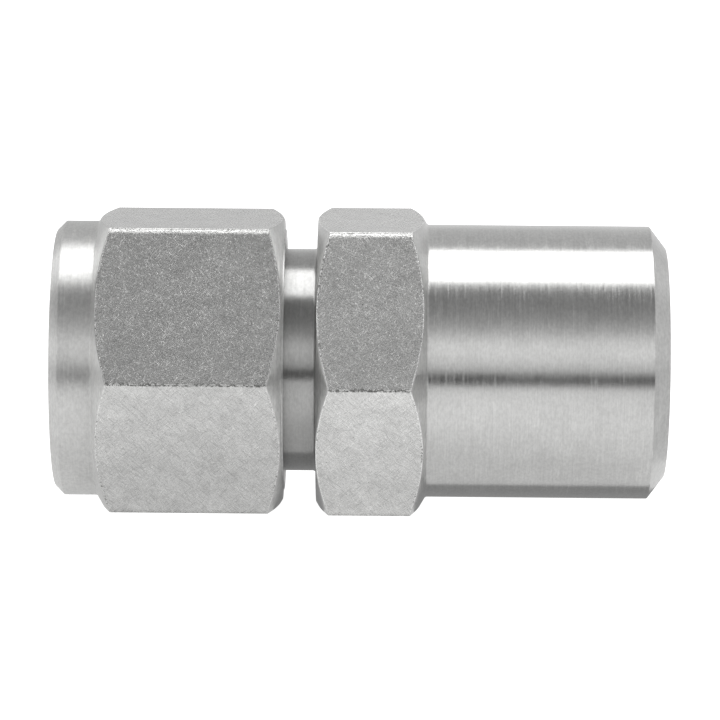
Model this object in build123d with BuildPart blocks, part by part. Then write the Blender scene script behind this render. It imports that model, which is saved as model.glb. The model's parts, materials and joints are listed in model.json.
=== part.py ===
# Male pipe weld connector: a twin-ferrule tube fitting for 1/2 in tube,
# with a bevelled 1/2 in pipe end for butt welding.
# The nut is finger-tight. Sizes are in millimetres.
#
# The flow axis is X. The origin is on it, at the shoulder that stops the tube.
# +X points to the weld end, -X to the nut, and +Z up from the hex flats it lies on.

from build123d import *
from math import cos, radians, sin, tan
import os

# Tube and the bores that it passes through
tube_od = 12.7
socket_clearance = 0.08        # radial, tube to body socket
ferrule_clearance = 0.05       # radial, tube to both ferrules
nut_hole_clearance = 0.10      # radial, tube to the hole in the nut
socket_depth = 8.67            # straight socket, from the seat to the tube stop
stop_ledge = 1.23              # radial width of the tube stop
seat_angle = 20.0              # half angle of the conical seat in the body
seat_depth = 4.73              # axial depth of the conical seat

# Threaded nose and the neck behind it
nose_wall = 0.961              # radial, mouth of the seat to the thread's pitch line
nose_land = 0.45               # flat ring on the nose, between seat and thread chamfer
thread_pitch = 1.27            # 20 threads to the inch
thread_clearance = 0.05        # radial, between the two threads at the pitch line
neck_undercut = 0.055          # radial, neck below the thread's root
neck_length = 3.10             # from the end of the thread to the body hex
neck_shoulder_angle = 45.0     # run-out from the thread down to the neck
neck_corner = 0.30             # 45 degree corner left by the tool where the neck meets the hex

# Both hexagons
nut_wall = 1.95                # radial, nut's pitch line to a flat, which makes 7/8 in across flats
hex_chamfer_angle = 30.0       # all turned chamfers on both hexagons, from the end plane

# Body hexagon
stop_to_hex = 2.50             # the nut-side face of the hex lies this far before the tube stop
body_hex_length = 8.53         # nut-side face to the foot of the weld-side cone

# Weld end, for schedule 80 pipe
pipe_od = 21.34
pipe_wall = 3.73
weld_end_length = 18.60        # foot of the hex cone to the end face
bevel_angle = 37.5             # weld preparation, from the end plane
root_land = 2.06               # flat ring left on the end face
weld_bore_depth = 16.00
drill_angle = 59.0             # half angle of the drill point between the two bores

# Front ferrule
ferrule_mouth_gap = 0.15       # radial, ferrule barrel inside the mouth of the seat
seat_gap = 0.03                # between each pair of cones that touch when tightened
front_nose_wall = 0.45         # wall at the tip of the nose
front_barrel_length = 2.50     # cylindrical stretch behind the cone
front_rim = 0.40               # flat ring on the back face
rear_recess_angle = 45.0       # cone in the back that takes the back ferrule

# Back ferrule
back_nose_wall = 0.33          # wall at the tip of the nose
back_nose_depth = 0.62         # axial length of the nose cone
back_waist_length = 0.90       # thin stretch between nose and flange
flange_length = 1.20           # full-diameter stretch of the flange
flange_back_wall = 0.80        # flat ring on the back face
drive_angle = 45.0             # cone on the flange and in the nut

# Nut
nut_hole_length = 3.84         # straight hole through the collar
nut_hole_chamfer = 0.40
cavity_gap = 0.20              # radial, nut cavity around the ferrules
cavity_length = 2.50           # straight cavity behind the drive cone
tap_cone_angle = 45.0          # from the cavity out to the thread
finger_gap = 2.50              # neck left in view between nut and body hex
mouth_chamfer = 0.44           # countersink where the thread starts
lip_wall = 0.60                # radial, raised ring round the mouth
lip_height = 0.12
end_circle_inset = 0.15        # end circle of the mouth-side cone, inside the flats
collar_wall = 4.30             # radial, around the tube hole
collar_length = 3.27           # end face to the foot of the hex cone
collar_chamfer = 0.70
nut_clocking = 1.40            # degrees that the nut's flats stand off the body's

# Radii and places that follow from these sizes
tube_r = tube_od / 2
socket_r = tube_r + socket_clearance
flow_r = socket_r - stop_ledge
ferrule_bore_r = tube_r + ferrule_clearance
nut_hole_r = tube_r + nut_hole_clearance
seat_slope = tan(radians(seat_angle))
mouth_r = socket_r + seat_depth * seat_slope
thread_r = mouth_r + nose_wall
thread_height = thread_pitch * cos(radians(30))        # of a sharp 60 degree thread
thread_root_drop = thread_height / 3                   # pitch line to root
neck_r = thread_r - thread_root_drop - neck_undercut
pipe_r = pipe_od / 2
weld_bore_r = pipe_r - pipe_wall
land_r = weld_bore_r + root_land
nut_thread_r = thread_r + thread_clearance
flat_r = nut_thread_r + nut_wall
corner_r = flat_r / cos(radians(30))
hex_slope = tan(radians(hex_chamfer_angle))
blank_r = corner_r + 1         # the chamfer cones run out past the corners

nose_x = -(socket_depth + seat_depth)
seat_foot_x = -socket_depth
hex_face_x = -stop_to_hex
hex_foot_x = hex_face_x + body_hex_length
weld_end_x = hex_foot_x + weld_end_length
weld_bore_x = weld_end_x - weld_bore_depth


def hexagon(plane_x, turn=0.0):
    """A hexagon across the flow axis, with flats above and below before its turn."""
    with BuildSketch(Plane.YZ.offset(plane_x)) as section:
        RegularPolygon(radius=flat_r, side_count=6, major_radius=False, rotation=turn)
    return section.sketch


def turned_profile(*points):
    """A closed half section in the XZ plane, given as (x, radius) points."""
    with BuildSketch(Plane.XZ) as section:
        with BuildLine():
            Polyline(*points, close=True)
        make_face()
    return section.sketch


def circle_edges(part, x, radius, slack=0.001):
    """The edges of a part that are whole circles at this x and radius."""
    edges = part.edges().filter_by(GeomType.CIRCLE)
    return edges.filter_by(
        lambda edge: abs(edge.arc_center.X - x) < slack and abs(edge.radius - radius) < slack
    )


# Connector body: nose, neck, hexagon and weld end, turned from one hexagon bar

face_cone_length = (blank_r - flat_r) * hex_slope
foot_cone_length = (blank_r - pipe_r) * hex_slope
bevel_length = (pipe_r - land_r) * tan(radians(bevel_angle))
nose_chamfer = nose_wall - nose_land
neck_shoulder = (thread_r - neck_r) / tan(radians(neck_shoulder_angle))
neck_start_x = hex_face_x - neck_length
drill_cone = (weld_bore_r - flow_r) / tan(radians(drill_angle))

with BuildPart() as connector_body:
    # Hexagon, with both ends turned to 30 degree cones
    extrude(hexagon(hex_face_x), amount=body_hex_length)
    turned_hex = turned_profile(
        (hex_face_x, 0),
        (hex_face_x, flat_r),
        (hex_face_x + face_cone_length, blank_r),
        (hex_foot_x - foot_cone_length, blank_r),
        (hex_foot_x, pipe_r),
        (hex_foot_x, 0),
    )
    revolve(turned_hex, axis=Axis.X, mode=Mode.INTERSECT)

    # Threaded nose at the thread's pitch line, and the neck behind it
    nose = turned_profile(
        (nose_x, 0),
        (nose_x, mouth_r + nose_land),
        (nose_x + nose_chamfer, thread_r),
        (neck_start_x, thread_r),
        (neck_start_x + neck_shoulder, neck_r),
        (hex_face_x, neck_r),
        (hex_face_x, 0),
    )
    revolve(nose, axis=Axis.X)
    chamfer(circle_edges(connector_body, hex_face_x, neck_r), length=neck_corner)

    # Weld end with its bevel and root land
    weld_end = turned_profile(
        (hex_foot_x, 0),
        (hex_foot_x, pipe_r),
        (weld_end_x - bevel_length, pipe_r),
        (weld_end_x, land_r),
        (weld_end_x, 0),
    )
    revolve(weld_end, axis=Axis.X)

    # Conical seat, tube socket, tube stop, flow bore and the wider bore at the weld end
    passage = turned_profile(
        (nose_x, 0),
        (nose_x, mouth_r),
        (seat_foot_x, socket_r),
        (0, socket_r),
        (0, flow_r),
        (weld_bore_x - drill_cone, flow_r),
        (weld_bore_x, weld_bore_r),
        (weld_end_x, weld_bore_r),
        (weld_end_x, 0),
    )
    revolve(passage, axis=Axis.X, mode=Mode.SUBTRACT)


# Front ferrule: its cone lies in the body's seat, its back takes the back ferrule

ferrule_r = mouth_r - ferrule_mouth_gap
front_tip_r = ferrule_bore_r + front_nose_wall
seat_offset = seat_gap / sin(radians(seat_angle))       # axial, for the gap between the cones
front_tip_x = seat_foot_x - (front_tip_r - socket_r) / seat_slope - seat_offset
front_shoulder_x = front_tip_x - (ferrule_r - front_tip_r) / seat_slope
front_back_x = front_shoulder_x - front_barrel_length
recess_slope = tan(radians(rear_recess_angle))
recess_r = ferrule_r - front_rim
recess_foot_x = front_back_x + (recess_r - ferrule_bore_r) / recess_slope

with BuildPart() as front_ferrule:
    front_section = turned_profile(
        (front_tip_x, ferrule_bore_r),
        (front_tip_x, front_tip_r),
        (front_shoulder_x, ferrule_r),
        (front_back_x, ferrule_r),
        (front_back_x, recess_r),
        (recess_foot_x, ferrule_bore_r),
    )
    revolve(front_section, axis=Axis.X)


# Back ferrule: nose in the front ferrule, flange against the nut's drive cone

back_tip_r = ferrule_bore_r + back_nose_wall
recess_offset = seat_gap / sin(radians(rear_recess_angle))
back_tip_x = recess_foot_x - back_nose_wall / recess_slope - recess_offset
back_waist_r = back_tip_r + back_nose_depth * recess_slope
waist_x = back_tip_x - back_nose_depth
flange_front_x = waist_x - back_waist_length
flange_x = flange_front_x - flange_length
drive_slope = tan(radians(drive_angle))
flange_back_r = ferrule_bore_r + flange_back_wall
back_x = flange_x - (ferrule_r - flange_back_r) / drive_slope

with BuildPart() as back_ferrule:
    back_section = turned_profile(
        (back_tip_x, ferrule_bore_r),
        (back_tip_x, back_tip_r),
        (waist_x, back_waist_r),
        (flange_front_x, back_waist_r),
        (flange_front_x, ferrule_r),
        (flange_x, ferrule_r),
        (back_x, flange_back_r),
        (back_x, ferrule_bore_r),
    )
    revolve(back_section, axis=Axis.X)


# Nut: hexagon and collar outside; tube hole, drive cone, ferrule cavity and thread inside

cavity_r = ferrule_r + cavity_gap
drive_offset = seat_gap / sin(radians(drive_angle))
drive_mouth_x = flange_x + (cavity_r - ferrule_r) / drive_slope - drive_offset
drive_foot_x = drive_mouth_x - (cavity_r - nut_hole_r) / drive_slope
nut_face_x = drive_foot_x - nut_hole_length
tap_cone_x = drive_mouth_x + cavity_length
thread_foot_x = tap_cone_x + (nut_thread_r - cavity_r) / tan(radians(tap_cone_angle))
nut_mouth_x = hex_face_x - finger_gap
lip_foot_x = nut_mouth_x - lip_height
lip_inner_r = nut_thread_r + mouth_chamfer
lip_outer_r = lip_inner_r + lip_wall
collar_r = nut_hole_r + collar_wall
nut_foot_x = nut_face_x + collar_length
end_circle_r = flat_r - end_circle_inset
nut_foot_cone = (blank_r - collar_r) * hex_slope
nut_mouth_cone = (blank_r - end_circle_r) * hex_slope

with BuildPart() as nut:
    # Hexagon, with both ends turned to 30 degree cones
    extrude(hexagon(nut_foot_x, -nut_clocking), amount=lip_foot_x - nut_foot_x)
    turned_nut = turned_profile(
        (nut_foot_x, 0),
        (nut_foot_x, collar_r),
        (nut_foot_x + nut_foot_cone, blank_r),
        (lip_foot_x - nut_mouth_cone, blank_r),
        (lip_foot_x, end_circle_r),
        (lip_foot_x, 0),
    )
    revolve(turned_nut, axis=Axis.X, mode=Mode.INTERSECT)

    # Round collar at the tube end
    collar = turned_profile(
        (nut_face_x, 0),
        (nut_face_x, collar_r - collar_chamfer),
        (nut_face_x + collar_chamfer, collar_r),
        (nut_foot_x, collar_r),
        (nut_foot_x, 0),
    )
    revolve(collar, axis=Axis.X)

    # Raised lip round the mouth
    lip = turned_profile(
        (lip_foot_x, 0),
        (lip_foot_x, lip_outer_r),
        (nut_mouth_x, lip_outer_r),
        (nut_mouth_x, 0),
    )
    revolve(lip, axis=Axis.X)

    # Hole, drive cone, cavity and thread, at the thread's pitch line
    nut_inside = turned_profile(
        (nut_face_x, 0),
        (nut_face_x, nut_hole_r + nut_hole_chamfer),
        (nut_face_x + nut_hole_chamfer, nut_hole_r),
        (drive_foot_x, nut_hole_r),
        (drive_mouth_x, cavity_r),
        (tap_cone_x, cavity_r),
        (thread_foot_x, nut_thread_r),
        (nut_mouth_x - mouth_chamfer, nut_thread_r),
        (nut_mouth_x, lip_inner_r),
        (nut_mouth_x, 0),
    )
    revolve(nut_inside, axis=Axis.X, mode=Mode.SUBTRACT)


# Output

connector_body.part.label = "connector_body"
nut.part.label = "nut"
front_ferrule.part.label = "front_ferrule"
back_ferrule.part.label = "back_ferrule"

os.makedirs("parts", exist_ok=True)
export_step(connector_body.part, "parts/connector_body.step")
export_step(nut.part, "parts/nut.step")
export_step(front_ferrule.part, "parts/front_ferrule.step")
export_step(back_ferrule.part, "parts/back_ferrule.step")

print("Nut face", round(nut_face_x, 3), "mouth", round(nut_mouth_x, 3), "weld end", round(weld_end_x, 3))
print("Across flats", round(2 * flat_r, 3))
print("Seat mouth", round(mouth_r, 3), "thread", round(thread_r, 4), "neck", round(neck_r, 3))
print("Front ferrule", round(front_tip_x, 3), round(front_back_x, 3))
print("Back ferrule", round(back_tip_x, 3), round(back_x, 3))
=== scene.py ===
"""The looks of a male pipe weld connector: a twin-ferrule tube fitting with a bevelled weld end.

Pieces are modelled in millimetres and shrunk to metres when they are finished.
The flow axis is X, the nut is at -X, the weld end at +X, and +Z is up.
"""

import json
from math import cos, degrees, hypot, pi, radians, sin, tan

import bpy
from mathutils import Matrix, Vector


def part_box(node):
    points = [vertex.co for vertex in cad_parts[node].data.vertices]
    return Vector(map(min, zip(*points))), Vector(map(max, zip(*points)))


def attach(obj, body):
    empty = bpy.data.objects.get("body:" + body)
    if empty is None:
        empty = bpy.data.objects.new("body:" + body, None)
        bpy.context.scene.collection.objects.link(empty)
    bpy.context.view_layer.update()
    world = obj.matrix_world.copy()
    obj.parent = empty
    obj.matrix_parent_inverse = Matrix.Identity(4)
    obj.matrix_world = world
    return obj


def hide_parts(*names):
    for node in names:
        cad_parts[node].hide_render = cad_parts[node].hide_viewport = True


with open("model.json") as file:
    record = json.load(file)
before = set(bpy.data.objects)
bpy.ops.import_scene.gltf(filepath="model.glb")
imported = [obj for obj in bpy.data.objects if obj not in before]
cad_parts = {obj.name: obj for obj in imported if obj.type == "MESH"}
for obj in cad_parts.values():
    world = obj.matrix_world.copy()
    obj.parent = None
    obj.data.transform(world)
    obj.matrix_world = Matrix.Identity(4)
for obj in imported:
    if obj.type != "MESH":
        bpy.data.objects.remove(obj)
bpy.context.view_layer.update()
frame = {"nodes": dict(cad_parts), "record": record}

bl_info = {
    "name": "Pipe weld connector",
    "version": (1, 0, 0),
    "blender": (4, 5, 0),
    "location": "View3D > Sidebar > Connector",
    "description": "Models and finishes a twin-ferrule pipe weld connector around its packed frame",
    "category": "Object",
}

MM = 0.001                      # a millimetre in metres
MICRON = 0.001 * MM
SPIN_STEPS = 240                # a multiple of 12, so that a step falls on every hexagon corner
THREAD_STEPS = 96               # steps in one turn of a thread
SAME_POINT = 0.00001            # millimetres; closer points become one
CONE_SPARE = 1.0                # millimetres that the turned cones run out past the bar's corners
BAR_SPARE = 2.0                 # millimetres of bar left over at each end
TOOL_PROUD = 0.04               # millimetres that a thread tool stands out of the blank
SENSOR = 36.0                   # width of the camera's sensor in millimetres


# What the frame says

def mount(name):
    """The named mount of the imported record."""
    return next(m for m in frame["record"]["mounts"] if m["name"] == name)


def mount_radius(name):
    """A mount's radius in metres."""
    return mount(name)["dims"]["r_mm"] * MM


def mount_length(name):
    """A mount's length in metres."""
    return mount(name)["dims"]["length_mm"] * MM


BODY_LOW, BODY_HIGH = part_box("connector_body")
NUT_LOW, NUT_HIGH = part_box("nut")


# Sizes and finishes that a user may change

def length(name, description, default):
    """A length property in metres."""
    return bpy.props.FloatProperty(
        name=name, description=description, default=default, min=0.0, unit="LENGTH", precision=5
    )


def place(name, description, default):
    """A place along the flow axis, in metres."""
    return bpy.props.FloatProperty(
        name=name, description=description, default=default, unit="LENGTH", precision=5
    )


def angle(name, description, default):
    """An angle property."""
    return bpy.props.FloatProperty(
        name=name, description=description, default=default, subtype="ANGLE", unit="ROTATION"
    )


def share(name, description, default):
    """A plain number from 0 to 1."""
    return bpy.props.FloatProperty(name=name, description=description, default=default, min=0.0, max=1.0)


class ConnectorSizes(bpy.types.PropertyGroup):
    """Sizes of the connector body, the nut and their thread."""

    flat_radius: length("Flat radius", "Flow axis to a hexagon flat", BODY_HIGH.z)
    corner_round: length("Corner round", "Radius on the long corners of the hexagon bar", 0.24 * MM)
    cone_angle: angle("Cone angle", "Turned ends of both hexagons, from the end plane", radians(30))
    edge_break: length("Edge break", "Width of the break on turned edges", 0.07 * MM)

    nose_face: place("Nose face", "Tube end of the body", BODY_LOW.x)
    seat_mouth: length("Seat mouth", "Radius of the conical seat at the nose", 8.152 * MM)
    nose_land: length("Nose land", "Flat ring on the nose", 0.45 * MM)
    neck_start: place("Neck start", "Where the thread's pitch line ends", -5.60 * MM)
    neck_radius: length("Neck radius", "Neck between thread and hexagon", 8.691 * MM)
    neck_fillet: length("Neck fillet", "Corner between neck and hexagon", 0.30 * MM)
    hex_face: place("Hexagon face", "Nut side of the body's hexagon", -2.50 * MM)
    hex_foot: place("Hexagon foot", "Foot of the weld-side cone", 6.03 * MM)
    foot_fillet: length("Foot fillet", "Corner between the cone and the weld end", 0.25 * MM)
    weld_end_radius: length("Weld end radius", "Outside of the pipe end", mount_radius("pipe_weld_end"))
    weld_face: place("Weld face", "End of the pipe end", BODY_HIGH.x)
    bevel_angle: angle("Bevel angle", "Weld preparation, from the end plane", radians(37.5))
    root_land: length("Root land", "Flat ring on the weld face", 2.06 * MM)
    weld_bore_radius: length("Weld bore radius", "Bore at the weld end", mount_radius("weld_bore"))
    weld_bore_depth: length("Weld bore depth", "From the weld face", mount_length("weld_bore"))
    drill_angle: angle("Drill angle", "Half angle of the drill point between the bores", radians(59))
    flow_radius: length("Flow radius", "Bore between the tube stop and the weld bore", 5.20 * MM)
    socket_radius: length("Socket radius", "Socket that takes the tube", mount_radius("tube_socket"))
    socket_depth: length("Socket depth", "From the seat to the tube stop", mount_length("tube_socket"))

    pitch: length("Pitch", "One turn of the thread", 1.27 * MM)
    male_major: length("Male major radius", "Crest of the body's thread", 9.50 * MM)
    male_root: length("Male root radius", "Root of the body's thread", 8.745 * MM)
    female_minor: length("Female minor radius", "Crest of the nut's thread", 8.84 * MM)
    female_root: length("Female root radius", "Root of the nut's thread", 9.60 * MM)

    nut_face: place("Nut face", "Tube end of the nut", NUT_LOW.x)
    nut_mouth: place("Nut mouth", "Threaded end of the nut", NUT_HIGH.x)
    nut_hole: length("Nut hole", "Hole that the tube passes", mount_radius("nut_tube_hole"))
    nut_hole_chamfer: length("Nut hole chamfer", "At the tube end", 0.40 * MM)
    drive_foot: place("Drive foot", "Small end of the drive cone", -19.06 * MM)
    cavity_radius: length("Cavity radius", "Space around the ferrules", 8.202 * MM)
    cavity_length: length("Cavity length", "Straight stretch behind the drive cone", 2.50 * MM)
    lip_inner: length("Lip inner radius", "Countersink at the mouth", 9.603 * MM)
    lip_wall: length("Lip wall", "Raised ring round the mouth", 0.60 * MM)
    lip_height: length("Lip height", "Raised ring above the hexagon's end", 0.12 * MM)
    end_circle_inset: length("End circle inset", "Mouth-side end circle, inside the flats", 0.15 * MM)
    collar_wall: length("Collar wall", "Around the tube hole", 4.30 * MM)
    collar_length: length("Collar length", "End face to the foot of the cone", 3.27 * MM)
    collar_chamfer: length("Collar chamfer", "At the end face", 0.70 * MM)
    collar_fillet: length("Collar fillet", "Corner between collar and cone", 0.25 * MM)
    nut_clocking: angle("Nut clocking", "How far the nut's flats stand off the body's", radians(1.4))


class ConnectorFinish(bpy.types.PropertyGroup):
    """Colours and finishes of the bare steel."""

    steel: bpy.props.FloatVectorProperty(
        name="Steel", description="Colour of the bare steel", subtype="COLOR", size=3, min=0.0, max=1.0,
        default=(0.62, 0.62, 0.612),
    )
    pit_colour: bpy.props.FloatVectorProperty(
        name="Pits", description="Colour at the bottom of pits and nicks", subtype="COLOR", size=3,
        min=0.0, max=1.0, default=(0.10, 0.10, 0.095),
    )
    flat_roughness: share("Flat roughness", "Roughness of the tumbled flats", 0.26)
    turned_roughness: share("Turned roughness", "Roughness of the turned faces", 0.30)


class ConnectorStudio(bpy.types.PropertyGroup):
    """Camera settings: where it stands, where it is aimed and how wide it sees."""

    camera_distance: length("Camera distance", "Camera to the point that it is aimed at", 0.343)
    camera_elevation: angle("Camera elevation", "Above the horizon", radians(10.6))
    camera_azimuth: angle("Camera azimuth", "Turn of the camera round the fitting", radians(0.3))
    camera_roll: angle("Camera roll", "The right end of the fitting lies lower", radians(0.45))
    frame_width: length("Frame width", "Width seen at the flow axis", 56.5 * MM)
    aim_x: place("Aim", "Where the camera is aimed, along the flow axis", 0.83 * MM)
    aim_z: place("Aim height", "Where the camera is aimed, up", 0.0)


# Modelling steps

def mm(metres):
    """Metres as millimetres."""
    return metres / MM


def corner_radius(flat_radius):
    """Flow axis to a corner of a hexagon bar."""
    return flat_radius / cos(radians(30))


def deselect_all():
    """Leaves nothing selected, not even the frame's nodes."""
    if bpy.context.object and bpy.context.object.mode != "OBJECT":
        bpy.ops.object.mode_set(mode="OBJECT")
    bpy.ops.object.select_all(action="DESELECT")


def make_active(piece):
    """Selects one piece alone."""
    deselect_all()
    piece.select_set(True)
    bpy.context.view_layer.objects.active = piece


def arc(centre, radius, start, end, steps=5):
    """Points of a corner's arc in a half section. Angles are in degrees from +X towards the radius."""
    turns = [radians(start + (end - start) * i / steps) for i in range(steps + 1)]
    return [(centre[0] + radius * cos(t), centre[1] + radius * sin(t)) for t in turns]


def spun_section(name, points):
    """Draws a closed half section point by point, as (x, radius), and spins it round the flow axis."""
    deselect_all()
    bpy.ops.mesh.primitive_plane_add(size=1.0)
    piece = bpy.context.object
    piece.name = name
    bpy.ops.object.mode_set(mode="EDIT")
    bpy.ops.mesh.select_mode(type="VERT")
    bpy.ops.mesh.select_all(action="SELECT")
    bpy.ops.mesh.merge(type="CENTER")
    bpy.ops.transform.translate(value=(points[0][0], 0, points[0][1]))
    for (x, radius), (next_x, next_radius) in zip(points, points[1:]):
        step = (next_x - x, 0, next_radius - radius)
        bpy.ops.mesh.extrude_vertices_move(TRANSFORM_OT_translate={"value": step})
    bpy.ops.mesh.select_all(action="SELECT")
    bpy.ops.mesh.edge_face_add()
    bpy.ops.mesh.delete(type="ONLY_FACE")
    bpy.ops.mesh.select_all(action="SELECT")
    bpy.ops.mesh.spin(steps=SPIN_STEPS, angle=2 * pi, center=(0, 0, 0), axis=(1, 0, 0))
    bpy.ops.mesh.select_all(action="SELECT")
    bpy.ops.mesh.remove_doubles(threshold=SAME_POINT)
    bpy.ops.mesh.normals_make_consistent(inside=False)
    bpy.ops.object.mode_set(mode="OBJECT")
    return piece


def hexagon_bar(name, start_x, end_x, flat_radius, corner_round):
    """A hexagon bar along the flow axis, flats above and below, with its long corners rounded."""
    deselect_all()
    bpy.ops.mesh.primitive_cylinder_add(
        vertices=6, radius=corner_radius(flat_radius), depth=end_x - start_x,
        location=((start_x + end_x) / 2, 0, 0), rotation=(0, pi / 2, 0),
    )
    bar = bpy.context.object
    bar.name = name
    bpy.ops.object.transform_apply(location=True, rotation=True, scale=True)
    bpy.ops.object.mode_set(mode="EDIT")
    bpy.ops.mesh.select_mode(type="EDGE")
    bpy.ops.mesh.select_all(action="DESELECT")
    bpy.ops.object.mode_set(mode="OBJECT")
    for edge in bar.data.edges:
        ends = [bar.data.vertices[v].co for v in edge.vertices]
        edge.select = abs(ends[0].x - ends[1].x) > 1
    bpy.ops.object.mode_set(mode="EDIT")
    bpy.ops.mesh.bevel(offset=corner_round * tan(radians(30)), segments=5, profile=0.5)
    bpy.ops.object.mode_set(mode="OBJECT")
    return bar


def merge_slivers(piece, closer_than):
    """Merges points that lie closer together than a distance."""
    make_active(piece)
    bpy.ops.object.mode_set(mode="EDIT")
    bpy.ops.mesh.select_mode(type="VERT")
    bpy.ops.mesh.select_all(action="SELECT")
    bpy.ops.mesh.remove_doubles(threshold=closer_than)
    bpy.ops.mesh.dissolve_degenerate(threshold=closer_than)
    bpy.ops.object.mode_set(mode="OBJECT")


def combine(piece, tool, operation):
    """Cuts or joins a piece with a tool, and removes the tool."""
    make_active(piece)
    step = piece.modifiers.new(operation, "BOOLEAN")
    step.operation = operation
    step.solver = "EXACT"
    step.object = tool
    bpy.ops.object.modifier_apply(modifier=step.name)
    bpy.data.objects.remove(tool)


def break_edges(piece, width, sharper_than):
    """Breaks every edge that is sharper than an angle."""
    make_active(piece)
    step = piece.modifiers.new("edge break", "BEVEL")
    step.width = width
    step.segments = 2
    step.limit_method = "ANGLE"
    step.angle_limit = sharper_than
    step.use_clamp_overlap = True
    bpy.ops.object.modifier_apply(modifier=step.name)
    merge_slivers(piece, 0.001)


def turn_about_flow_axis(piece, turn):
    """Turns a piece's mesh about the flow axis."""
    make_active(piece)
    piece.rotation_euler = (turn, 0, 0)
    bpy.ops.object.transform_apply(location=False, rotation=True, scale=False)


def thread_cutter(name, crest, root, flat_at_root, pitch, first_x, last_x):
    """A V-shaped tool that follows the helix. crest and root are the radii of its wide and narrow sides.

    flat_at_root is the width of its narrow side. It starts at first_x and runs whole turns, up to last_x
    or close to it.
    """
    deselect_all()
    half_root = flat_at_root / 2
    half_crest = half_root + abs(root - crest) * tan(radians(30))
    bpy.ops.mesh.primitive_plane_add(size=1.0)
    cutter = bpy.context.object
    cutter.name = name
    corners = [(-half_crest, crest), (half_crest, crest), (half_root, root), (-half_root, root)]
    ordered = sorted(cutter.data.vertices, key=lambda v: (v.co.y, v.co.x if v.co.y < 0 else -v.co.x))
    for vertex, (x, radius) in zip(ordered, corners):
        vertex.co = (first_x + x, 0, radius)
    step = cutter.modifiers.new("helix", "SCREW")
    step.axis = "X"
    step.angle = 2 * pi
    step.screw_offset = pitch
    step.iterations = round((last_x - first_x) / pitch)
    step.steps = THREAD_STEPS
    step.render_steps = THREAD_STEPS
    make_active(cutter)
    bpy.ops.object.modifier_apply(modifier=step.name)
    bpy.ops.object.mode_set(mode="EDIT")
    bpy.ops.mesh.select_all(action="SELECT")
    bpy.ops.mesh.remove_doubles(threshold=SAME_POINT)
    bpy.ops.mesh.fill_holes(sides=4)
    bpy.ops.mesh.select_all(action="SELECT")
    bpy.ops.mesh.normals_make_consistent(inside=False)
    bpy.ops.object.mode_set(mode="OBJECT")
    return cutter


def shrink_to_metres(piece):
    """Scales a piece's mesh from millimetres to metres."""
    make_active(piece)
    piece.scale = (MM, MM, MM)
    bpy.ops.object.transform_apply(location=True, rotation=True, scale=True)


def smooth_piece(piece):
    """Smooth shading between small steps, with flat faces kept flat."""
    make_active(piece)
    bpy.ops.object.shade_smooth_by_angle(angle=radians(34))
    step = piece.modifiers.new("face normals", "WEIGHTED_NORMAL")
    step.keep_sharp = True
    step.weight = 60
    bpy.ops.object.modifier_apply(modifier=step.name)


def paint_faces(piece, turned, flats, flat_radius):
    """Gives the bar's own flats and rounded corners one material, and the rest the turned one."""
    piece.data.materials.clear()
    piece.data.materials.append(turned)
    piece.data.materials.append(flats)
    innermost, outermost = flat_radius - 0.02 * MM, corner_radius(flat_radius)
    for face in piece.data.polygons:
        along_axis = abs(face.normal.x) < 0.02
        on_bar = innermost < hypot(face.center.y, face.center.z) < outermost
        face.material_index = 1 if along_axis and on_bar else 0


# Shader nodes

class NodeBench:
    """Adds nodes to one tree and links them."""

    def __init__(self, tree):
        self.tree = tree

    def plug(self, target, value):
        """Links a socket to an input, or sets the input's own value."""
        if isinstance(value, bpy.types.NodeSocket):
            self.tree.links.new(value, target)
        else:
            target.default_value = value

    def add(self, kind, inputs=None, **values):
        """A node of a kind, with its settings and its inputs."""
        node = self.tree.nodes.new(kind)
        for name, value in values.items():
            setattr(node, name, value)
        for key, value in (inputs or {}).items():
            self.plug(node.inputs[key], value)
        return node

    def math(self, operation, *values, clamp=False):
        """The result of a Math node."""
        node = self.add("ShaderNodeMath", operation=operation, use_clamp=clamp)
        for i, value in enumerate(values):
            self.plug(node.inputs[i], value)
        return node.outputs[0]

    def vector(self, x, y, z):
        """A vector from three numbers."""
        return self.add("ShaderNodeCombineXYZ", {0: x, 1: y, 2: z}).outputs[0]

    def between(self, value, low, high, to_low=0.0, to_high=1.0):
        """A smooth step from low to high."""
        node = self.add("ShaderNodeMapRange", interpolation_type="SMOOTHSTEP")
        for i, item in enumerate((value, low, high, to_low, to_high)):
            self.plug(node.inputs[i], item)
        return node.outputs[0]

    def mixed(self, factor, first, second, blend_type="MIX"):
        """Two colours mixed by a factor."""
        node = self.add("ShaderNodeMix", data_type="RGBA", blend_type=blend_type)
        for key, value in (("Factor", factor), (6, first), (7, second)):
            self.plug(node.inputs[key], value)
        return node.outputs[2]

    def toned(self, colour, tone):
        """A plain colour made lighter or darker by a tone."""
        return self.mixed(1.0, (*colour, 1.0), self.vector(tone, tone, tone), "MULTIPLY")

    def in_millimetres(self, place):
        """The three parts of a place, in millimetres."""
        parts = self.add("ShaderNodeSeparateXYZ", {0: place}).outputs
        return [self.math("MULTIPLY", part, 1 / MM) for part in parts]

    def off_axis(self, y, z):
        """Distance from the flow axis."""
        y_squared = self.math("MULTIPLY", y, y)
        z_squared = self.math("MULTIPLY", z, z)
        return self.math("SQRT", self.math("ADD", y_squared, z_squared))

    def noise(self, vector, scale, detail=2.0, roughness=0.5):
        """A noise value from 0 to 1."""
        inputs = {"Vector": vector, "Scale": scale, "Detail": detail, "Roughness": roughness}
        return self.add("ShaderNodeTexNoise", inputs).outputs["Fac"]

    def group(self, tree, **inputs):
        """A node group, with its inputs given by name, _ for a space."""
        node = self.add("ShaderNodeGroup", node_tree=tree)
        for name, value in inputs.items():
            self.plug(node.inputs[name.replace("_", " ")], value)
        return node


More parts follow.
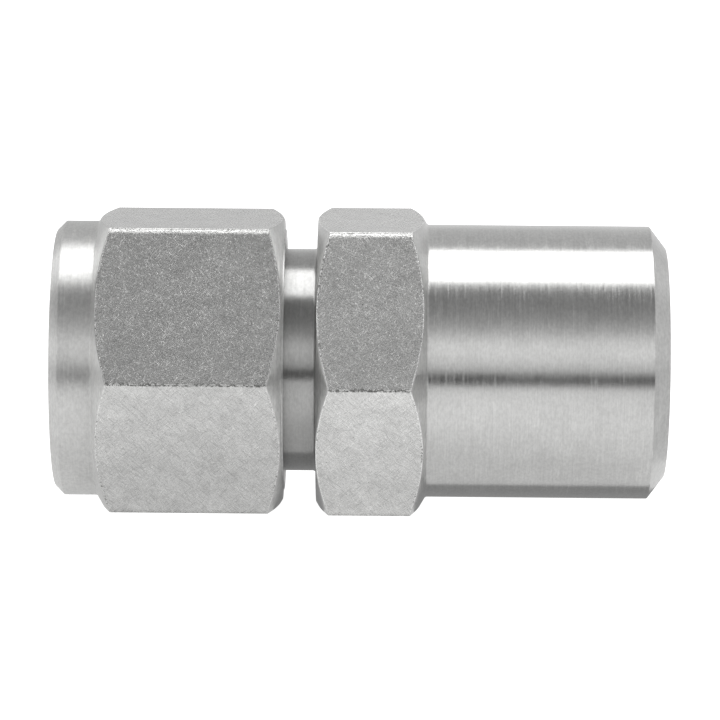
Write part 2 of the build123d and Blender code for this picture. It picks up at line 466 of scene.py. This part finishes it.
def new_group(name, inputs, outputs):
    """A shader node group with named inputs and outputs, and its bench."""
    tree = bpy.data.node_groups.new(name, "ShaderNodeTree")
    for label, kind, default in inputs:
        socket = tree.interface.new_socket(label, in_out="INPUT", socket_type=kind)
        if default is not None:
            socket.default_value = default
    for label, kind in outputs:
        tree.interface.new_socket(label, in_out="OUTPUT", socket_type=kind)
    bench = NodeBench(tree)
    return tree, bench, bench.add("NodeGroupInput").outputs, bench.add("NodeGroupOutput").inputs


FLOAT = "NodeSocketFloat"
VECTOR = "NodeSocketVector"


def place_on_bar_group():
    """Where a point lies on a hexagon bar, in millimetres: along, across its flat, out from the axis."""
    tree, bench, given, result = new_group(
        "Place on bar",
        [("Place", VECTOR, None), ("Turn", FLOAT, 0.0)],
        [("Along", FLOAT), ("Across", FLOAT), ("Out", FLOAT), ("Radius", FLOAT), ("Side", FLOAT)],
    )
    x, y, z = bench.in_millimetres(given["Place"])
    radius = bench.off_axis(y, z)
    turned = bench.math("SUBTRACT", bench.math("ARCTAN2", y, z), given["Turn"])
    side = bench.math("ROUND", bench.math("DIVIDE", turned, pi / 3))
    off_centre = bench.math("SUBTRACT", turned, bench.math("MULTIPLY", side, pi / 3))
    bench.plug(result["Along"], x)
    bench.plug(result["Across"], bench.math("MULTIPLY", radius, bench.math("SINE", off_centre)))
    bench.plug(result["Out"], bench.math("MULTIPLY", radius, bench.math("COSINE", off_centre)))
    bench.plug(result["Radius"], radius)
    bench.plug(result["Side"], side)
    return tree


def strokes_group():
    """Short strokes in one direction, from a stretched noise. Lengths are in the vector's own unit."""
    tree, bench, given, result = new_group(
        "Strokes",
        [
            ("Vector", VECTOR, None), ("Direction", FLOAT, 0.0), ("Length", FLOAT, 1.0),
            ("Width", FLOAT, 0.1), ("Sparseness", FLOAT, 0.6),
        ],
        [("Mask", FLOAT)],
    )
    turned = bench.add(
        "ShaderNodeVectorRotate", {"Vector": given["Vector"], "Angle": given["Direction"]},
        rotation_type="Z_AXIS",
    )
    parts = bench.add("ShaderNodeSeparateXYZ", {0: turned.outputs[0]}).outputs
    along = bench.math("DIVIDE", parts[0], given["Length"])
    across = bench.math("DIVIDE", parts[1], given["Width"])
    field = bench.noise(bench.vector(along, across, parts[2]), 1.0, detail=0.0)
    top = bench.math("ADD", given["Sparseness"], 0.14)
    bench.plug(result["Mask"], bench.between(field, given["Sparseness"], top))
    return tree


def edge_wear_group():
    """A worn edge: 1 on the edge, falling in a curve to 0 at a ragged reach, in millimetres."""
    tree, bench, given, result = new_group(
        "Edge wear",
        [
            ("Vector", VECTOR, None), ("Distance", FLOAT, 1.0), ("Width", FLOAT, 0.2),
            ("Raggedness", FLOAT, 0.5),
        ],
        [("Mask", FLOAT)],
    )
    ragged = bench.noise(given["Vector"], 4.5, detail=4.0, roughness=0.75)
    reach = bench.math("MULTIPLY_ADD", bench.math("SUBTRACT", ragged, 0.5), given["Raggedness"], 1.0)
    limit = bench.math("MULTIPLY", bench.math("MAXIMUM", reach, 0.05), given["Width"])
    near = bench.math("SUBTRACT", 1.0, bench.math("DIVIDE", given["Distance"], limit), clamp=True)
    bench.plug(result["Mask"], bench.math("MULTIPLY", near, near))
    return tree


def turned_lines_group():
    """Tool lines round the flow axis: full circles for a bump, others that end part of the way, cloud."""
    tree, bench, given, result = new_group(
        "Turned lines",
        [("Place", VECTOR, None), ("Spacing", FLOAT, 0.09)],
        [
            ("Height", FLOAT), ("Streaks", FLOAT), ("Lone lines", FLOAT), ("Speckle", FLOAT),
            ("Cloud", FLOAT), ("Along", FLOAT), ("Radius", FLOAT),
        ],
    )
    x, y, z = bench.in_millimetres(given["Place"])
    radius = bench.off_axis(y, z)
    run = bench.math("DIVIDE", bench.math("MULTIPLY_ADD", radius, 1.37, x), given["Spacing"])
    bench.plug(result["Along"], x)
    bench.plug(result["Radius"], radius)
    bench.plug(result["Height"], bench.noise(bench.vector(run, 0.0, 0.0), 1.0, roughness=0.6))
    bench.plug(result["Cloud"], bench.noise(bench.vector(x, y, z), 0.40, detail=4.0, roughness=0.65))
    # label, how dense the lines are, how fast they end, shift of the noise, its detail and its roughness
    for label, density, ending, shift, detail, rough in (
        ("Streaks", 0.8, 0.16, 0.0, 3.0, 0.55),
        ("Speckle", 0.55, 3.0, 0.0, 2.0, 0.6),
        ("Lone lines", 0.62, 0.45, 31.0, 2.0, 0.7),
    ):
        stretched = bench.vector(
            bench.math("MULTIPLY", run, density), bench.math("MULTIPLY", y, ending),
            bench.math("MULTIPLY_ADD", z, ending, shift),
        )
        bench.plug(result[label], bench.noise(stretched, 1.0, detail=detail, roughness=rough))
    return tree


def steel_material(name, finish):
    """A bare metal material: its bench, its Principled BSDF and Object coordinates."""
    material = bpy.data.materials.new(name)
    material.use_nodes = True
    material.node_tree.nodes.clear()
    bench = NodeBench(material.node_tree)
    shader = bench.add("ShaderNodeBsdfPrincipled")
    shader.inputs["Metallic"].default_value = 1.0
    shader.inputs["Base Color"].default_value = (*finish.steel, 1.0)
    bench.add("ShaderNodeOutputMaterial", {"Surface": shader.outputs[0]})
    place = bench.add("ShaderNodeTexCoord").outputs["Object"]
    return material, bench, shader, place


def turned_steel(name, finish, groups, spacing, roughness, brightness=1.0, groove_end=None):
    """Turned steel: fine tool lines round the axis, streaks of changing gloss and a light speckle.

    spacing is that of the tool lines, in millimetres. groove_end is where the thread and the neck end
    along the axis, in millimetres; up to there, narrow places are painted darker, a painted shade for the
    recesses: the neck between the two hexagons, the thread's grooves and the bores.
    """
    material, bench, shader, place = steel_material(name, finish)
    lines = bench.group(groups["turned lines"], Place=place, Spacing=spacing).outputs
    shader.inputs["Anisotropic"].default_value = 0.9
    shader.inputs["Anisotropic Rotation"].default_value = 0.25
    round_axis = bench.add("ShaderNodeTangent", direction_type="RADIAL", axis="X")
    bench.plug(shader.inputs["Tangent"], round_axis.outputs[0])
    gloss = bench.between(lines["Streaks"], 0.36, 0.66, roughness - 0.025, roughness + 0.03)
    lone_lines = bench.between(lines["Lone lines"], 0.52, 0.66, 0.0, 0.08)
    bench.plug(shader.inputs["Roughness"], bench.math("ADD", gloss, lone_lines))
    tone = bench.between(lines["Speckle"], 0.25, 0.75, 0.92 * brightness, 1.08 * brightness)
    for label, low, high, darkest, lightest in (
        ("Streaks", 0.32, 0.70, 0.96, 1.04),
        ("Cloud", 0.32, 0.68, 0.965, 1.03),
        ("Lone lines", 0.55, 0.66, 1.0, 1.10),
    ):
        change = bench.between(lines[label], low, high, darkest, lightest)
        tone = bench.math("MULTIPLY", tone, change)
    # painted shade: the neck, the thread's grooves and the bores before the hexagon are made 28% darker,
    # for the shade that falls into them
    if groove_end is not None:
        in_groove = bench.between(lines["Radius"], 9.15, 8.80)
        before_hexagon = bench.math("LESS_THAN", lines["Along"], groove_end)
        shade = bench.math("MULTIPLY", in_groove, before_hexagon)
        tone = bench.math("MULTIPLY", tone, bench.math("MULTIPLY_ADD", shade, -0.28, 1.0))
    bench.plug(shader.inputs["Base Color"], bench.toned(finish.steel, tone))
    height = bench.math("MULTIPLY_ADD", lines["Speckle"], 0.12, lines["Height"])
    bump = bench.add("ShaderNodeBump", {"Strength": 1.0, "Distance": 2 * MICRON, "Height": height})
    bench.plug(shader.inputs["Normal"], bump.outputs[0])
    return material


# The marks on the flats: direction in radians, length in millimetres, and sparseness
DARK_STROKES = ((0.78, 0.95, 0.59), (-0.80, 0.75, 0.61), (1.15, 0.85, 0.64))
BRIGHT_STROKES = ((-0.95, 0.50, 0.69), (0.90, 0.42, 0.71))
HAIR_SCRATCHES = ((0.35, 3.2, 0.64), (-0.30, 2.6, 0.66), (1.05, 2.2, 0.67))
STROKE_WIDTH = 0.055            # millimetres


def stroke_mask(bench, groups, sheet, family, members):
    """Where one family of strokes lies. Its number keeps its noise apart from that of the others."""
    mask = 0.0
    for number, (direction, stroke, sparseness) in enumerate(members):
        offset = (0.0, 0.0, 11.0 * number + 47.0 * family)
        shift = bench.add("ShaderNodeVectorMath", {0: sheet, 1: offset}, operation="ADD")
        strokes = bench.group(
            groups["strokes"], Vector=shift.outputs[0], Direction=direction, Length=stroke,
            Width=STROKE_WIDTH, Sparseness=sparseness,
        )
        mask = bench.math("MAXIMUM", strokes.outputs["Mask"], mask)
    return mask


def worn_edges_and_highlight(bench, groups, on_bar, sheet, ends, cone, flat_radius):
    """Where the bar's long corners are worn, the cones' worn edges with a painted highlight, and the
    nicks along both.
    """
    half_flat = flat_radius * tan(radians(30))
    corner_distance = bench.math("SUBTRACT", half_flat, bench.math("ABSOLUTE", on_bar["Across"]))
    (left_x, left_r), (right_x, right_r) = ends
    left_rise = bench.math("SUBTRACT", on_bar["Radius"], left_r)
    right_rise = bench.math("SUBTRACT", right_r, on_bar["Radius"])
    left_edge = bench.math("MULTIPLY_ADD", left_rise, tan(cone), left_x)
    right_edge = bench.math("MULTIPLY_ADD", right_rise, tan(cone), right_x)
    cone_distance = bench.math(
        "MINIMUM", bench.math("SUBTRACT", on_bar["Along"], left_edge),
        bench.math("SUBTRACT", right_edge, on_bar["Along"]),
    )

    # crispness is -1 at every second corner, which is worn more, and 1 at the others
    corner_turn = bench.math("MULTIPLY", bench.math("ARCTAN2", on_bar["Across"], on_bar["Out"]), 3.0)
    crispness = bench.math("SINE", bench.math("MULTIPLY_ADD", on_bar["Side"], pi, corner_turn))
    corner_width = bench.math("MULTIPLY_ADD", crispness, -0.19, 0.29)
    corner_wear = bench.group(
        groups["edge wear"], Vector=sheet, Distance=corner_distance, Width=corner_width, Raggedness=0.9
    ).outputs["Mask"]
    # this mask sets the cones' edge wear in the bump and also a painted highlight in the colour
    cone_wear_and_highlight = bench.group(
        groups["edge wear"], Vector=sheet, Distance=cone_distance, Width=0.15, Raggedness=3.5
    ).outputs["Mask"]

    near_edge = bench.between(bench.math("MINIMUM", corner_distance, cone_distance), 0.30, 0.05)
    some_edges = bench.between(bench.noise(sheet, 0.35, detail=1.0), 0.42, 0.55)
    nicks = bench.between(bench.noise(sheet, 5.2, roughness=0.6), 0.46, 0.40)
    nicks = bench.math("MULTIPLY", bench.math("MULTIPLY", nicks, near_edge), some_edges)

    # the corners that are worn less have a row of dark dashes
    along_corner = bench.vector(on_bar["Along"], 0.0, on_bar["Side"])
    dashes = bench.between(bench.noise(along_corner, 3.4), 0.50, 0.44)
    dashes = bench.math("MULTIPLY", dashes, bench.between(corner_distance, 0.15, 0.08))
    dashes = bench.math("MULTIPLY", dashes, bench.between(crispness, 0.0, 0.5))
    return corner_wear, cone_wear_and_highlight, bench.math("MAXIMUM", nicks, dashes)


def tumbled_flats(name, finish, groups, ends, cone, flat_radius, turn, brightness):
    """The bar's own surface: tumbled, with short cross-hatched strokes, pits and worn, ragged edges; the
    cones' edges also carry a painted highlight.

    ends are the two end planes of the turned cones with their circle's radius, in millimetres, and cone
    is the cones' angle. turn is that of the flats about the flow axis.
    """
    material, bench, shader, place = steel_material(name, finish)
    on_bar = bench.group(groups["place on bar"], Place=place, Turn=turn).outputs
    # the six flats lie on one sheet, far enough apart to have marks of their own
    shifted = bench.math("MULTIPLY_ADD", on_bar["Side"], 37.7, on_bar["Across"])
    sheet = bench.vector(on_bar["Along"], shifted, bench.math("MULTIPLY", on_bar["Side"], 5.3))

    dark = stroke_mask(bench, groups, sheet, 0, DARK_STROKES)
    bright = stroke_mask(bench, groups, sheet, 1, BRIGHT_STROKES)
    scratches = stroke_mask(bench, groups, sheet, 2, HAIR_SCRATCHES)
    grain = bench.noise(sheet, 7.0, detail=3.0, roughness=0.72)
    swell = bench.noise(sheet, 1.1, detail=3.0, roughness=0.6)
    cloud = bench.noise(sheet, 0.45, detail=3.0, roughness=0.6)
    pits = bench.between(bench.noise(sheet, 3.4), 0.27, 0.21)
    corner_wear, cone_wear_and_highlight, nicks = worn_edges_and_highlight(bench, groups, on_bar, sheet, ends, cone, flat_radius)

    height = 0.0
    for mask, microns in (
        (grain, 24.0), (bright, 4.5), (dark, -2.5), (scratches, -2.0), (swell, 9.0),
        (corner_wear, -105.0), (cone_wear_and_highlight, -30.0),
    ):
        height = bench.math("MULTIPLY_ADD", mask, microns, height)
    bump = bench.add("ShaderNodeBump", {"Strength": 1.0, "Distance": MICRON, "Height": height})
    bench.plug(shader.inputs["Normal"], bump.outputs[0])

    rough = bench.between(grain, 0.3, 0.7, finish.flat_roughness - 0.03, finish.flat_roughness + 0.05)
    bench.plug(shader.inputs["Roughness"], rough)

    tone = bench.between(grain, 0.25, 0.75, 0.92 * brightness, 1.16 * brightness)
    tone = bench.math("MULTIPLY", tone, bench.between(cloud, 0.3, 0.7, 0.95, 1.05))
    tone = bench.math("MULTIPLY", tone, bench.between(swell, 0.3, 0.7, 0.96, 1.04))
    # the cones' edges are made up to 2.1 times as light: a painted highlight along them, on top of their
    # wear in the bump
    for mask, lighter in ((dark, -0.19), (bright, 0.25), (scratches, 0.08), (cone_wear_and_highlight, 1.1)):
        tone = bench.math("MULTIPLY", tone, bench.math("MULTIPLY_ADD", mask, lighter, 1.0))
    marks = bench.math("MAXIMUM", pits, bench.math("MULTIPLY", nicks, 0.8))
    colour = bench.mixed(marks, bench.toned(finish.steel, tone), (*finish.pit_colour, 1.0))
    bench.plug(shader.inputs["Base Color"], colour)
    return material


# Pieces

def body_section(sizes):
    """Half section of the connector body, with the hexagon's cones run out past its corners."""
    slope = tan(sizes.cone_angle)
    flat, weld_r = mm(sizes.flat_radius), mm(sizes.weld_end_radius)
    blank = corner_radius(flat) + CONE_SPARE
    nose, neck_x, face = mm(sizes.nose_face), mm(sizes.neck_start), mm(sizes.hex_face)
    foot, end = mm(sizes.hex_foot), mm(sizes.weld_face)
    mouth, major, neck = mm(sizes.seat_mouth), mm(sizes.male_major), mm(sizes.neck_radius)
    land = mouth + mm(sizes.nose_land)
    pitch_line = (mm(sizes.male_major) + mm(sizes.male_root)) / 2
    round_neck, round_foot = mm(sizes.neck_fillet), mm(sizes.foot_fillet)
    weld_bore, flow, socket = mm(sizes.weld_bore_radius), mm(sizes.flow_radius), mm(sizes.socket_radius)
    land_r = weld_bore + mm(sizes.root_land)
    bevel = (weld_r - land_r) * tan(sizes.bevel_angle)
    bore_x = end - mm(sizes.weld_bore_depth)
    drill = (weld_bore - flow) / tan(sizes.drill_angle)
    # the foot's fillet is tangent to the cone, 60 degrees off the axis, and to the weld end
    tangent = round_foot * tan((pi / 2 - sizes.cone_angle) / 2)
    centre = (foot + tangent, weld_r + round_foot)
    points = [
        (nose, mouth),
        (nose, land),
        (nose + major - land, major),
        (neck_x - (major - pitch_line), major),
        (neck_x + pitch_line - neck, neck),
    ]
    points += arc((face - round_neck, neck + round_neck), round_neck, 270, 360)
    points += [
        (face, flat),
        (face + (blank - flat) * slope, blank),
        (foot - (blank - weld_r) * slope, blank),
    ]
    points += arc(centre, round_foot, 180 + degrees(sizes.cone_angle), 270)
    points += [
        (end - bevel, weld_r),
        (end, land_r),
        (end, weld_bore),
        (bore_x, weld_bore),
        (bore_x - drill, flow),
        (0, flow),
        (0, socket),
        (-mm(sizes.socket_depth), socket),
    ]
    return points


def nut_section(sizes):
    """Half section of the nut, with the hexagon's cones run out past its corners."""
    slope = tan(sizes.cone_angle)
    flat = mm(sizes.flat_radius)
    blank = corner_radius(flat) + CONE_SPARE
    face, mouth = mm(sizes.nut_face), mm(sizes.nut_mouth)
    hole, hole_chamfer = mm(sizes.nut_hole), mm(sizes.nut_hole_chamfer)
    collar, chamfer = hole + mm(sizes.collar_wall), mm(sizes.collar_chamfer)
    foot = face + mm(sizes.collar_length)
    end_circle = flat - mm(sizes.end_circle_inset)
    lip_foot = mouth - mm(sizes.lip_height)
    lip_inner = mm(sizes.lip_inner)
    lip_outer = lip_inner + mm(sizes.lip_wall)
    minor, cavity = mm(sizes.female_minor), mm(sizes.cavity_radius)
    drive_foot = mm(sizes.drive_foot)
    drive_mouth = drive_foot + cavity - hole
    tap_cone = drive_mouth + mm(sizes.cavity_length)
    round_foot = mm(sizes.collar_fillet)
    tangent = round_foot * tan((pi / 2 - sizes.cone_angle) / 2)
    points = [
        (face, hole + hole_chamfer),
        (face, collar - chamfer),
        (face + chamfer, collar),
    ]
    centre = (foot - tangent, collar + round_foot)
    points += arc(centre, round_foot, 270, 360 - degrees(sizes.cone_angle))
    points += [
        (foot + (blank - collar) * slope, blank),
        (lip_foot - (blank - end_circle) * slope, blank),
        (lip_foot, end_circle),
        (lip_foot, lip_outer),
        (mouth, lip_outer),
        (mouth, lip_inner),
        (mouth - (lip_inner - minor), minor),
        (tap_cone + minor - cavity, minor),
        (tap_cone, cavity),
        (drive_mouth, cavity),
        (drive_foot, hole),
        (face + hole_chamfer, hole),
    ]
    return points


def turned_from_bar(name, section, sizes):
    """A piece turned from hexagon bar: the spun section kept inside the bar, with its edges broken."""
    piece = spun_section(name, section)
    ends = [x for x, radius in section]
    start, end = min(ends) - BAR_SPARE, max(ends) + BAR_SPARE
    bar = hexagon_bar("bar", start, end, mm(sizes.flat_radius), mm(sizes.corner_round))
    combine(piece, bar, "INTERSECT")
    merge_slivers(piece, 0.02)
    break_edges(piece, mm(sizes.edge_break), radians(38))
    return piece


def finish_piece(piece, body, node):
    """Shrinks and smooths a piece, and ties it to the frame."""
    shrink_to_metres(piece)
    smooth_piece(piece)
    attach(piece, body)
    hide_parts(node)


class CONNECTOR_OT_body(bpy.types.Operator):
    """Model the connector body with its thread, hexagon and weld end"""

    bl_idname = "connector.body"
    bl_label = "Connector body"

    def execute(self, context):
        sizes, finish = context.scene.connector_sizes, context.scene.connector_finish
        piece = turned_from_bar("dressed_body", body_section(sizes), sizes)
        pitch = mm(sizes.pitch)
        major, root = mm(sizes.male_major), mm(sizes.male_root)
        cutter = thread_cutter(
            "male_cutter", major + TOOL_PROUD, root, pitch / 4, pitch,
            mm(sizes.nose_face) - pitch, mm(sizes.neck_start) + pitch,
        )
        combine(piece, cutter, "DIFFERENCE")
        finish_piece(piece, "body", "connector_body")
        groups = shared_groups()
        slope_ends = (
            (mm(sizes.hex_face), mm(sizes.flat_radius)),
            (mm(sizes.hex_foot), mm(sizes.weld_end_radius)),
        )
        # groove_end is where the painted shade of the neck, the thread and the bores ends
        turned = turned_steel(
            "turned_body", finish, groups, spacing=0.10, roughness=finish.turned_roughness,
            groove_end=mm(sizes.hex_face),
        )
        flats = tumbled_flats(
            "tumbled_body", finish, groups, slope_ends, sizes.cone_angle, mm(sizes.flat_radius),
            turn=0.0, brightness=1.10,
        )
        paint_faces(piece, turned, flats, sizes.flat_radius)
        return {"FINISHED"}


class CONNECTOR_OT_nut(bpy.types.Operator):
    """Model the nut with its collar, lip and thread"""

    bl_idname = "connector.nut"
    bl_label = "Nut"

    def execute(self, context):
        sizes, finish = context.scene.connector_sizes, context.scene.connector_finish
        piece = turned_from_bar("dressed_nut", nut_section(sizes), sizes)
        turn_about_flow_axis(piece, -sizes.nut_clocking)
        pitch = mm(sizes.pitch)
        minor, root = mm(sizes.female_minor), mm(sizes.female_root)
        # half a pitch off the body's thread, so that its crests lie in the body's grooves
        cutter = thread_cutter(
            "female_cutter", minor - TOOL_PROUD, root, pitch / 8, pitch,
            mm(sizes.nose_face) - 1.5 * pitch, mm(sizes.nut_mouth) + pitch,
        )
        combine(piece, cutter, "DIFFERENCE")
        finish_piece(piece, "nut", "nut")
        groups = shared_groups()
        slope_ends = (
            (mm(sizes.nut_face + sizes.collar_length), mm(sizes.nut_hole + sizes.collar_wall)),
            (mm(sizes.nut_mouth - sizes.lip_height), mm(sizes.flat_radius - sizes.end_circle_inset)),
        )
        turned = turned_steel(
            "turned_nut", finish, groups, spacing=0.13, roughness=finish.turned_roughness + 0.16,
            brightness=1.08,
        )
        flats = tumbled_flats(
            "tumbled_nut", finish, groups, slope_ends, sizes.cone_angle, mm(sizes.flat_radius),
            turn=sizes.nut_clocking, brightness=0.97,
        )
        paint_faces(piece, turned, flats, sizes.flat_radius)
        return {"FINISHED"}


class CONNECTOR_OT_ferrules(bpy.types.Operator):
    """Finish the two ferrules"""

    bl_idname = "connector.ferrules"
    bl_label = "Ferrules"

    def execute(self, context):
        finish = context.scene.connector_finish
        burnished = turned_steel(
            "burnished_ferrule", finish, shared_groups(), spacing=0.05, roughness=0.12
        )
        for node in ("front_ferrule", "back_ferrule"):
            ferrule = frame["nodes"][node]
            ferrule.data.materials.clear()
            ferrule.data.materials.append(burnished)
        return {"FINISHED"}


def shared_groups():
    """The node groups that the steels share, built once."""
    makers = {
        "place on bar": ("Place on bar", place_on_bar_group),
        "strokes": ("Strokes", strokes_group),
        "edge wear": ("Edge wear", edge_wear_group),
        "turned lines": ("Turned lines", turned_lines_group),
    }
    return {key: bpy.data.node_groups.get(name) or make() for key, (name, make) in makers.items()}


# Stage

# Brightness of the studio's walls by degrees above the horizon: on the camera's side, behind the
# fitting, to its left and to its right
FRONT_LIGHT = (
    (0, 0.58), (5, 0.75), (12, 0.92), (20, 1.04), (27, 0.90), (36, 0.52), (46, 0.34), (56, 0.26),
    (90, 0.17),
)
BACK_LIGHT = ((0, 0.77), (12, 0.73), (22, 0.62), (40, 0.58), (90, 0.50))
LEFT_LIGHT = ((0, 1.15), (8, 1.35), (14, 1.15), (20, 0.60), (26, 0.36), (90, 0.28))
RIGHT_LIGHT = ((0, 0.83), (15, 0.75), (30, 0.45), (90, 0.35))


def brightness_ramp(bench, height, levels):
    """A ramp over the height above the horizon, from 0 to 1, through (degrees, brightness) pairs."""
    node = bench.add("ShaderNodeValToRGB", {0: height})
    stops = node.color_ramp.elements
    stops.remove(stops[1])
    stops[0].position = 0.0
    stops[0].color = (levels[0][1],) * 3 + (1.0,)
    for degrees_up, level in levels[1:]:
        stops.new(degrees_up / 90).color = (level,) * 3 + (1.0,)
    return node.outputs[0]


def studio_world():
    """Light that depends on the side and on the height above the horizon; the camera sees it white."""
    world = bpy.data.worlds.new("studio")
    bpy.context.scene.world = world
    world.use_nodes = True
    world.node_tree.nodes.clear()
    bench = NodeBench(world.node_tree)
    direction = bench.add("ShaderNodeTexCoord").outputs["Generated"]
    parts = bench.add("ShaderNodeSeparateXYZ", {0: direction}).outputs
    height = bench.math("DIVIDE", bench.math("ARCSINE", parts[2]), pi / 2, clamp=True)
    walls = brightness_ramp(bench, height, FRONT_LIGHT)
    # each further wall, the part of the direction that points at it, and where it fades in
    for wall, towards, start, full in (
        (BACK_LIGHT, parts[1], -0.35, 0.35),
        (LEFT_LIGHT, parts[0], -0.45, -0.80),
        (RIGHT_LIGHT, parts[0], 0.45, 0.80),
    ):
        fade = bench.between(towards, start, full)
        walls = bench.mixed(fade, walls, brightness_ramp(bench, height, wall))
    studio = bench.add("ShaderNodeBackground", {"Color": walls, "Strength": 1.0})
    white = bench.add("ShaderNodeBackground", {"Color": (1.0, 1.0, 1.0, 1.0), "Strength": 1.05})
    seen = bench.add("ShaderNodeLightPath").outputs["Is Camera Ray"]
    mixed = bench.add("ShaderNodeMixShader", {0: seen, 1: studio.outputs[0], 2: white.outputs[0]})
    bench.add("ShaderNodeOutputWorld", {"Surface": mixed.outputs[0]})


def softbox(name, centre, size, brightness):
    """An overhead softbox that faces straight down. brightness is its radiance."""
    lamp = bpy.data.lights.new(name, "AREA")
    lamp.shape = "RECTANGLE"
    lamp.size, lamp.size_y = size
    lamp.energy = brightness * pi * size[0] * size[1]
    box = bpy.data.objects.new(name, lamp)
    box.location = centre
    box.visible_camera = False
    bpy.context.scene.collection.objects.link(box)


def plain_material(name, grey):
    """A plain matt material for the stage that may glow white, and its Principled BSDF."""
    material = bpy.data.materials.new(name)
    material.use_nodes = True
    shader = next(n for n in material.node_tree.nodes if n.type == "BSDF_PRINCIPLED")
    shader.inputs["Base Color"].default_value = (grey, grey, grey, 1.0)
    shader.inputs["Roughness"].default_value = 1.0
    shader.inputs["Specular IOR Level"].default_value = 0.0
    shader.inputs["Emission Color"].default_value = (1.0, 1.0, 1.0, 1.0)
    return material, shader


def card(name, brightness, centre, size, tilt):
    """A card of an even brightness that only reflections see."""
    deselect_all()
    bpy.ops.mesh.primitive_plane_add(size=1.0, location=centre, rotation=(tilt, 0, 0))
    board = bpy.context.object
    board.name = name
    board.scale = (*size, 1.0)
    board.visible_camera = False
    board.visible_diffuse = False
    board.visible_shadow = False
    matt, shader = plain_material(name, 0.0)
    shader.inputs["Emission Strength"].default_value = brightness
    board.data.materials.append(matt)


class CONNECTOR_OT_stage(bpy.types.Operator):
    """Set the floor, the studio light and the camera"""

    bl_idname = "connector.stage"
    bl_label = "Stage"

    def execute(self, context):
        studio = context.scene.connector_studio
        floor_z = BODY_LOW.z
        deselect_all()
        bpy.ops.mesh.primitive_plane_add(size=6.0, location=(0, 0, floor_z))
        floor = bpy.context.object
        floor.name = "floor"
        # the floor glows as well: more in the camera's eyes than in the reflections
        pale, shader = plain_material("pale_floor", 0.45)
        bench = NodeBench(pale.node_tree)
        seen = bench.add("ShaderNodeLightPath").outputs["Is Camera Ray"]
        bench.plug(shader.inputs["Emission Strength"], bench.math("MULTIPLY_ADD", seen, 0.45, 0.56))
        floor.data.materials.append(pale)

        # cards in front of the fitting, under it and to its right: brightness, centre, size, tilt
        card("front_card", 0.04, (0.0, -0.070, floor_z + 0.006), (0.5, 0.012), pi / 2)
        # the card under the fitting is a dark sheet that paints the fitting's contact shadow on the floor
        # into the reflections
        card("contact_shadow_card", 0.30, (5 * MM, 2.5 * MM, floor_z + 0.03 * MM), (0.040, 0.015), 0.0)
        card("right_card", 0.70, (0.150, 0.080, floor_z + 0.05 * MM), (0.240, 0.300), 0.0)

        studio_world()
        softbox("overhead", (0.0, 0.067, 0.40), (0.62, 0.282), 2.2)

        camera_data = bpy.data.cameras.new("camera")
        camera = bpy.data.objects.new("camera", camera_data)
        context.scene.collection.objects.link(camera)
        context.scene.camera = camera
        camera_data.sensor_width = SENSOR
        camera_data.lens = SENSOR * studio.camera_distance / studio.frame_width
        camera_data.clip_start = 0.01
        camera_data.clip_end = 20.0
        aim = Vector((studio.aim_x, 0.0, studio.aim_z))
        turn = Matrix.Rotation(studio.camera_azimuth, 3, "Z")
        back = turn @ Vector((0.0, -cos(studio.camera_elevation), sin(studio.camera_elevation)))
        camera.rotation_mode = "QUATERNION"
        camera.location = aim + back * studio.camera_distance
        roll = Matrix.Rotation(studio.camera_roll, 4, "Z").to_quaternion()
        camera.rotation_quaternion = (-back).to_track_quat("-Z", "Y") @ roll

        context.scene.view_settings.view_transform = "Standard"
        context.scene.view_settings.look = "None"
        return {"FINISHED"}


class CONNECTOR_PT_panel(bpy.types.Panel):
    """Lists the steps that build the connector"""

    bl_idname = "CONNECTOR_PT_panel"
    bl_label = "Connector"
    bl_space_type = "VIEW_3D"
    bl_region_type = "UI"
    bl_category = "Connector"

    def draw(self, context):
        for step in STEPS:
            self.layout.operator(step.bl_idname)
        for name, group in GROUPS.items():
            for setting in group.__annotations__:
                self.layout.prop(getattr(context.scene, name), setting)


STEPS = (CONNECTOR_OT_body, CONNECTOR_OT_nut, CONNECTOR_OT_ferrules, CONNECTOR_OT_stage)
GROUPS = {
    "connector_sizes": ConnectorSizes,
    "connector_finish": ConnectorFinish,
    "connector_studio": ConnectorStudio,
}


def register():
    """Registers the settings, the steps and the panel."""
    for name, group in GROUPS.items():
        bpy.utils.register_class(group)
        setattr(bpy.types.Scene, name, bpy.props.PointerProperty(type=group))
    for step in STEPS:
        bpy.utils.register_class(step)
    bpy.utils.register_class(CONNECTOR_PT_panel)


def unregister():
    """Takes the panel, the steps and the settings away again."""
    bpy.utils.unregister_class(CONNECTOR_PT_panel)
    for step in reversed(STEPS):
        bpy.utils.unregister_class(step)
    for name, group in GROUPS.items():
        delattr(bpy.types.Scene, name)
        bpy.utils.unregister_class(group)


def main():
    """Builds the connector and its stage."""
    register()
    bpy.ops.connector.body()
    bpy.ops.connector.nut()
    bpy.ops.connector.ferrules()
    bpy.ops.connector.stage()


if __name__ == "__main__":
    main()
